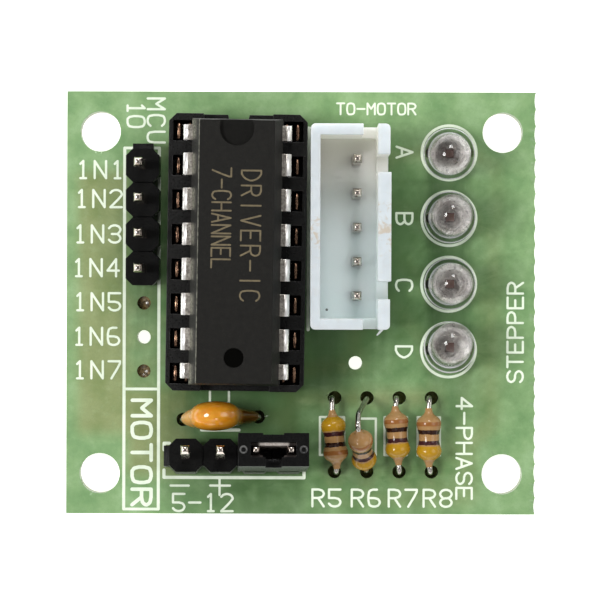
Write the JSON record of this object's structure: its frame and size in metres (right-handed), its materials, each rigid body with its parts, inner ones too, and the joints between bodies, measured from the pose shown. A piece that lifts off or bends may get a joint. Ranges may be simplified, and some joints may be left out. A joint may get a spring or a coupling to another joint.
{
  "type": "stepper motor driver board",
  "caption": "Small circuit board that switches a stepper motor's coils: socketed driver chip, motor connector, signal lamps, control and power pin headers.",
  "frame": {"origin": "middle of the four fixing holes, on the underside of the circuit board", "axes": "+Z out of the component side, +X along the board's long edge towards the lamps, +Y towards the end where the chip has its notch"},
  "size_m": [0.035, 0.0316, 0.012],
  "materials": {
    "board_laminate": "green solder mask over pale glass laminate",
    "masked_copper": "copper under green solder mask",
    "solder": "bright tin solder",
    "black_plastic": "satin black moulded plastic",
    "chip_moulding": "matt dark grey epoxy moulding",
    "tinned_spring": "tin-plated phosphor bronze",
    "tinned_leads": "bright tin plate",
    "tinned_pins": "tin-plated brass",
    "silicon": "polished semiconductor",
    "white_nylon": "natural white nylon, slightly translucent",
    "orange_dip": "glossy orange-brown dipped resin",
    "ceramic": "fired ceramic",
    "tan_lacquer": "glossy tan lacquer with colour bands",
    "clear_lens": "water-clear epoxy"
  },
  "bodies": {
    "root": {"capacitor_chip": "ceramic", "capacitor_coat": "orange_dip", "capacitor_leads": "tinned_leads", "circuit_board": "board_laminate", "copper_tracks": "masked_copper", "driver_socket_body": "black_plastic", "driver_socket_contacts": "tinned_spring", "input_header_body": "black_plastic", "input_header_pins": "tinned_pins", "lamp_a_anode": "tinned_leads", "lamp_a_cathode": "tinned_leads", "lamp_a_chip": "silicon", "lamp_a_lens": "clear_lens", "lamp_b_anode": "tinned_leads", "lamp_b_cathode": "tinned_leads", "lamp_b_chip": "silicon", "lamp_b_lens": "clear_lens", "lamp_c_anode": "tinned_leads", "lamp_c_cathode": "tinned_leads", "lamp_c_chip": "silicon", "lamp_c_lens": "clear_lens", "lamp_d_anode": "tinned_leads", "lamp_d_cathode": "tinned_leads", "lamp_d_chip": "silicon", "lamp_d_lens": "clear_lens", "motor_connector_housing": "white_nylon", "motor_connector_pins": "tinned_pins", "power_header_body": "black_plastic", "power_header_pins": "tinned_pins", "resistor_r5_coat": "tan_lacquer", "resistor_r5_core": "ceramic", "resistor_r5_leads": "tinned_leads", "resistor_r6_coat": "tan_lacquer", "resistor_r6_core": "ceramic", "resistor_r6_leads": "tinned_leads", "resistor_r7_coat": "tan_lacquer", "resistor_r7_core": "ceramic", "resistor_r7_leads": "tinned_leads", "resistor_r8_coat": "tan_lacquer", "resistor_r8_core": "ceramic", "resistor_r8_leads": "tinned_leads", "solder_joints": "solder"},
    "driver_ic": {"driver_ic_case": "chip_moulding", "driver_ic_die": "silicon", "driver_ic_leads_left": "tinned_leads", "driver_ic_leads_right": "tinned_leads", "driver_ic_paddle": "tinned_leads"},
    "jumper": {"jumper_clip": "tinned_spring", "jumper_shell": "black_plastic"}
  },
  "joints": [
    {"name": "driver_ic_pull", "type": "slide", "parent": "root", "child": "driver_ic", "axis": [0, 0, 1], "range_m": [0, 0.005]},
    {"name": "jumper_pull", "type": "slide", "parent": "root", "child": "jumper", "axis": [0.0294, 0.1219, 0.9921], "range_m": [0, 0.007]}
  ]
}
